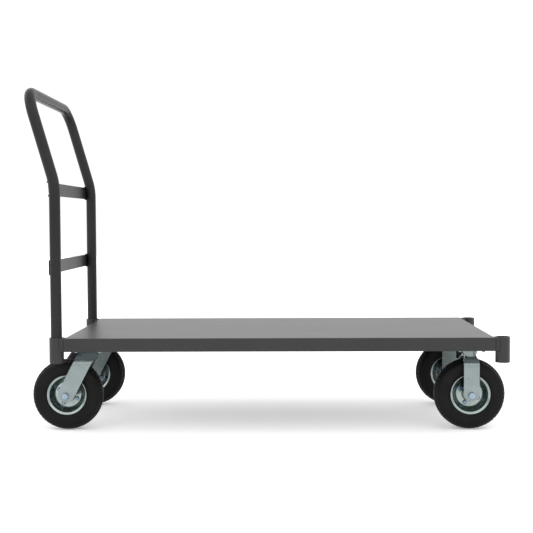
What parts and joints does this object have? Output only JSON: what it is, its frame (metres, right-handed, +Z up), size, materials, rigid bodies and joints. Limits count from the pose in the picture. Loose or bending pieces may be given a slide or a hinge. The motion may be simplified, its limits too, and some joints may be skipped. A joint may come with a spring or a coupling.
{
  "type": "platform cart",
  "caption": "Steel platform cart with a lipped flat deck, corner sockets, a lift-out bent tube handle with cross braces, and swivel and rigid pneumatic casters.",
  "frame": {"origin": "centre of the overall bounding box, on the floor under the tyres", "axes": "+X from the handle end towards the free end, +Y from the near long side to the far long side, +Z up"},
  "size_m": [1.3802, 0.6096, 0.9915],
  "materials": {
    "grey_powder_coat": "semi-gloss grey powder coat",
    "zinc_pressing": "bright clear zinc plate on pressed steel",
    "zinc_rim": "bright zinc plate on pressed rim sheet",
    "zinc_fastener": "blue zinc plate",
    "bearing_steel": "ground bearing steel",
    "tyre_rubber": "matte black moulded rubber"
  },
  "bodies": {
    "deck": {"caster_bolts": "zinc_fastener", "caster_nuts": "zinc_fastener", "caster_washers": "zinc_fastener", "channel_middle": "grey_powder_coat", "channel_rigid_end": "grey_powder_coat", "channel_swivel_end": "grey_powder_coat", "deck_pan": "grey_powder_coat", "kingpin_nuts": "zinc_fastener", "kingpin_retainers": "zinc_fastener", "kingpins": "zinc_fastener", "rigid_axle_bolts": "zinc_fastener", "rigid_axle_nuts": "zinc_fastener", "rigid_axle_spacers": "zinc_fastener", "rigid_fork_far": "zinc_pressing", "rigid_fork_near": "zinc_pressing", "socket_free_far": "grey_powder_coat", "socket_free_near": "grey_powder_coat", "socket_handle_far": "grey_powder_coat", "socket_handle_near": "grey_powder_coat", "socket_stops": "grey_powder_coat", "socket_welds": "grey_powder_coat", "swivel_plate_far": "zinc_pressing", "swivel_plate_near": "zinc_pressing"},
    "handle": {"brace_lower": "grey_powder_coat", "brace_upper": "grey_powder_coat", "brace_welds": "grey_powder_coat", "handle_tube": "grey_powder_coat"},
    "swivel_near": {"swivel_axle_bolt_near": "zinc_fastener", "swivel_axle_nut_near": "zinc_fastener", "swivel_axle_spacers_near": "zinc_fastener", "swivel_balls_near": "bearing_steel", "swivel_cup_near": "zinc_pressing", "swivel_fork_near": "zinc_pressing"},
    "swivel_far": {"swivel_axle_bolt_far": "zinc_fastener", "swivel_axle_nut_far": "zinc_fastener", "swivel_axle_spacers_far": "zinc_fastener", "swivel_balls_far": "bearing_steel", "swivel_cup_far": "zinc_pressing", "swivel_fork_far": "zinc_pressing"},
    "wheel_swivel_near": {"bearings_swivel_near": "bearing_steel", "rim_back_swivel_near": "zinc_rim", "rim_bolts_swivel_near": "zinc_fastener", "rim_front_swivel_near": "zinc_rim", "tyre_swivel_near": "tyre_rubber"},
    "wheel_swivel_far": {"bearings_swivel_far": "bearing_steel", "rim_back_swivel_far": "zinc_rim", "rim_bolts_swivel_far": "zinc_fastener", "rim_front_swivel_far": "zinc_rim", "tyre_swivel_far": "tyre_rubber"},
    "wheel_rigid_near": {"bearings_rigid_near": "bearing_steel", "rim_back_rigid_near": "zinc_rim", "rim_bolts_rigid_near": "zinc_fastener", "rim_front_rigid_near": "zinc_rim", "tyre_rigid_near": "tyre_rubber"},
    "wheel_rigid_far": {"bearings_rigid_far": "bearing_steel", "rim_back_rigid_far": "zinc_rim", "rim_bolts_rigid_far": "zinc_fastener", "rim_front_rigid_far": "zinc_rim", "tyre_rigid_far": "tyre_rubber"}
  },
  "joints": [
    {"name": "handle_lift", "type": "slide", "parent": "deck", "child": "handle", "axis": [0, 0, 1], "range_m": [0, 0.1]},
    {"name": "swivel_turn_near", "type": "hinge", "parent": "deck", "child": "swivel_near", "pos_m": [-0.51416, -0.2078, 0.235], "axis": [0, 0, 1], "continuous": true},
    {"name": "swivel_turn_far", "type": "hinge", "parent": "deck", "child": "swivel_far", "pos_m": [-0.51416, 0.2078, 0.235], "axis": [0, 0, 1], "continuous": true},
    {"name": "wheel_spin_swivel_near", "type": "hinge", "parent": "swivel_near", "child": "wheel_swivel_near", "pos_m": [-0.58016, -0.2078, 0.1026], "axis": [0, 1, 0], "continuous": true},
    {"name": "wheel_spin_swivel_far", "type": "hinge", "parent": "swivel_far", "child": "wheel_swivel_far", "pos_m": [-0.58016, 0.2078, 0.1026], "axis": [0, 1, 0], "continuous": true},
    {"name": "wheel_spin_rigid_near", "type": "hinge", "parent": "deck", "child": "wheel_rigid_near", "pos_m": [0.58734, -0.2078, 0.1026], "axis": [0, 1, 0], "continuous": true},
    {"name": "wheel_spin_rigid_far", "type": "hinge", "parent": "deck", "child": "wheel_rigid_far", "pos_m": [0.58734, 0.2078, 0.1026], "axis": [0, 1, 0], "continuous": true}
  ]
}
